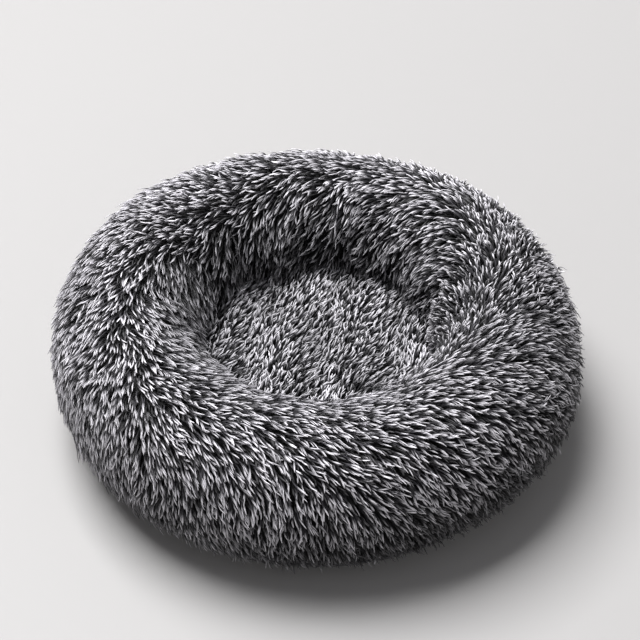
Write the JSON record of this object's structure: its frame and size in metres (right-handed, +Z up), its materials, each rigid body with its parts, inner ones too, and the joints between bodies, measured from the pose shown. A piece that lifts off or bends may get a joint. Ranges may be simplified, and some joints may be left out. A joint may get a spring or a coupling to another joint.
{
  "type": "pet cushion bed",
  "caption": "Round shaggy pet bed: a stuffed fur bolster in a ring round a sunken fur pad, on a non-slip base with a zipped band at the back.",
  "frame": {"origin": "on the floor under the middle of the bed", "axes": "+Z up, -Y towards the front, the zip is at +Y"},
  "size_m": [0.6024, 0.5928, 0.2],
  "materials": {
    "fur": "matte",
    "base_cloth": "matte",
    "binding_tape": "matte",
    "liner": "matte",
    "filling": "matte",
    "label": "satin",
    "zip_tape": "matte",
    "zip_coil": "satin",
    "zip_metal": "satin"
  },
  "bodies": {
    "bed": {"ring_cover_front": "fur", "ring_cover_back": "fur", "pad_cover": "fur", "pad_seam_tape": "binding_tape", "base_binding": "binding_tape", "ring_liner_upper": "liner", "ring_liner_lower": "liner", "pad_liner_top": "liner", "pad_liner_bottom": "liner", "ring_fill": "filling", "pad_fill": "filling", "base_panel": "base_cloth", "base_band": "base_cloth", "zip_end_tab_left": "base_cloth", "zip_end_tab_right": "base_cloth", "care_label": "label", "zip_tape_lower": "zip_tape", "zip_tape_upper": "zip_tape", "zip_coil_lower": "zip_coil", "zip_coil_upper": "zip_coil", "zip_top_stop_lower": "zip_metal", "zip_top_stop_upper": "zip_metal", "zip_bottom_stop": "zip_metal"},
    "slider": {"zip_slider": "zip_metal"},
    "pull_tab": {"zip_pull_tab": "zip_metal"}
  },
  "joints": [
    {"name": "zip_travel", "type": "hinge", "parent": "bed", "child": "slider", "pos_m": [0, 0, 0.01363], "axis": [0, 0, 1], "range_deg": [-133.7, 0]},
    {"name": "pull_tab_swing", "type": "hinge", "parent": "slider", "child": "pull_tab", "pos_m": [-0.24497, 0.10434, 0.01363], "axis": [0, 0, 1], "range_deg": [0, 178]}
  ]
}
